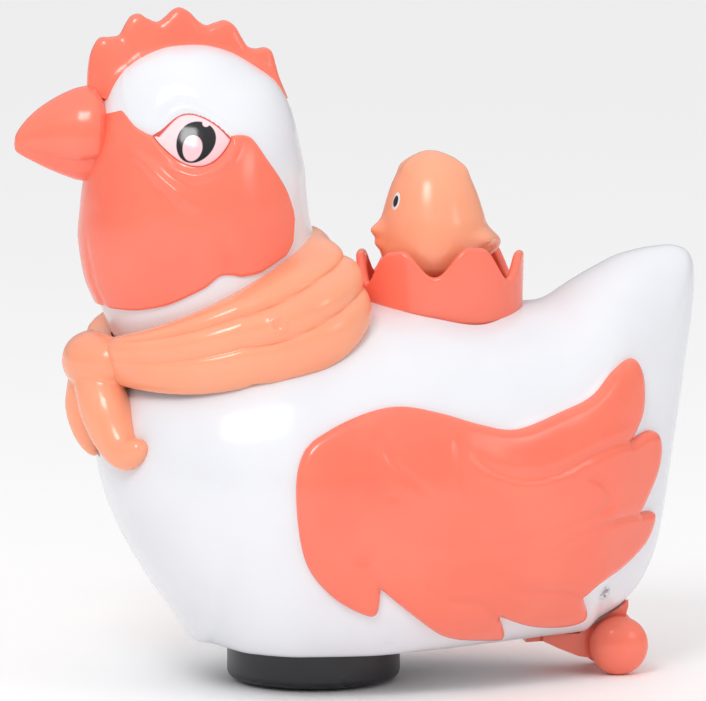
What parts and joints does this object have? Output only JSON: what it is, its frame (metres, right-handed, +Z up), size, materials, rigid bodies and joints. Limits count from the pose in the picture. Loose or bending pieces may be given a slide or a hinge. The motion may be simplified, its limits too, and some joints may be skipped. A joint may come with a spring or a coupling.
{
  "type": "bump and go hen toy",
  "caption": "Glossy plastic hen with a scarf and a chick in a nest on its back, driven by a wheeled turntable under its breast with a free wheel pair behind.",
  "frame": {"origin": "on the floor under the middle of the toy's box", "axes": "the hen faces -X, its left side is -Y, +Z is up"},
  "size_m": [0.2218, 0.127, 0.2193],
  "materials": {
    "white_abs": "glossy injection-moulded",
    "coral_abs": "glossy injection-moulded",
    "peach_abs": "glossy injection-moulded",
    "black_abs": "semi-gloss moulded",
    "nylon": "matte moulded",
    "rubber": "matte",
    "steel": "bright zinc-plated",
    "brass": "satin",
    "eye_print": "printed, glossy",
    "board": "solder mask",
    "cell_wrap": "printed wrap"
  },
  "bodies": {
    "hen": {"body_left": "white_abs", "body_right": "white_abs", "base_pan": "white_abs", "wing_left": "coral_abs", "wing_right": "coral_abs", "scarf_ring": "peach_abs", "scarf_knot": "peach_abs", "nest_cup": "coral_abs", "rear_bracket": "coral_abs", "battery_box": "white_abs", "battery_door": "white_abs", "door_screw": "steel", "battery_cell_1": "cell_wrap", "battery_cell_2": "cell_wrap", "contact_front": "brass", "contact_rear": "brass", "switch_body": "black_abs", "circuit_board": "board", "speaker": "steel", "gearbox_case": "white_abs", "gearbox_cover": "white_abs", "motor": "steel", "idler_pin": "steel", "neck_bearing": "nylon", "side_screw": "steel"},
    "head": {"head_left": "white_abs", "head_right": "white_abs", "face_mask": "coral_abs", "comb": "coral_abs", "eye_left": "eye_print", "eye_right": "eye_print", "neck_plate": "white_abs"},
    "chick": {"chick_body": "peach_abs", "chick_stem": "nylon", "chick_lever": "nylon", "chick_eye_left": "black_abs", "chick_eye_right": "black_abs"},
    "switch": {"switch_knob": "black_abs"},
    "turntable": {"turntable_drum": "black_abs", "turntable_floor": "black_abs", "turntable_lid": "black_abs", "axle_bearing_left": "black_abs", "axle_bearing_right": "black_abs"},
    "drive_wheels": {"drive_axle": "steel", "drive_wheel_left": "nylon", "drive_wheel_right": "nylon", "drive_tyre_left": "rubber", "drive_tyre_right": "rubber", "crown_gear": "nylon"},
    "output_shaft": {"output_gear": "nylon", "drive_shaft": "steel", "shaft_pinion": "nylon"},
    "idler": {"idler_gear": "nylon"},
    "motor_spindle": {"motor_pinion": "brass", "motor_shaft": "steel"},
    "rear_wheels": {"rear_axle": "steel", "rear_wheel_left": "coral_abs", "rear_wheel_right": "coral_abs"}
  },
  "joints": [
    {"name": "turntable_swivel", "type": "hinge", "parent": "hen", "child": "turntable", "pos_m": [-0.014, 0, 0.009], "axis": [0, 0, 1], "continuous": true},
    {"name": "drive_wheel_spin", "type": "hinge", "parent": "turntable", "child": "drive_wheels", "pos_m": [-0.014, 0, 0.009], "axis": [0, 1, 0], "continuous": true},
    {"name": "rear_wheel_spin", "type": "hinge", "parent": "hen", "child": "rear_wheels", "pos_m": [0.0848, 0, 0.0096], "axis": [0, 1, 0], "continuous": true},
    {"name": "output_spin", "type": "hinge", "parent": "hen", "child": "output_shaft", "pos_m": [-0.014, 0, 0.026], "axis": [0, 0, 1], "continuous": true},
    {"name": "idler_spin", "type": "hinge", "parent": "hen", "child": "idler", "pos_m": [-0.0273, 0, 0.03], "axis": [0, 0, 1], "continuous": true},
    {"name": "motor_spin", "type": "hinge", "parent": "hen", "child": "motor_spindle", "pos_m": [-0.0273, 0.0139, 0.032], "axis": [0, 0, 1], "continuous": true},
    {"name": "head_swivel", "type": "hinge", "parent": "hen", "child": "head", "pos_m": [-0.0477, 0, 0.1313], "axis": [-0.454, 0, 0.891], "range_deg": [-12, 12]},
    {"name": "chick_swivel", "type": "hinge", "parent": "hen", "child": "chick", "pos_m": [0.024, 0, 0.12], "axis": [0, 0, 1], "range_deg": [-20, 20]},
    {"name": "power_switch", "type": "slide", "parent": "hen", "child": "switch", "axis": [1, 0, 0], "range_m": [0, 0.004]}
  ],
  "couplings": [
    {"joint": "idler_spin", "follows": "output_spin", "ratio": -2.6667},
    {"joint": "motor_spin", "follows": "output_spin", "ratio": 9.6}
  ]
}
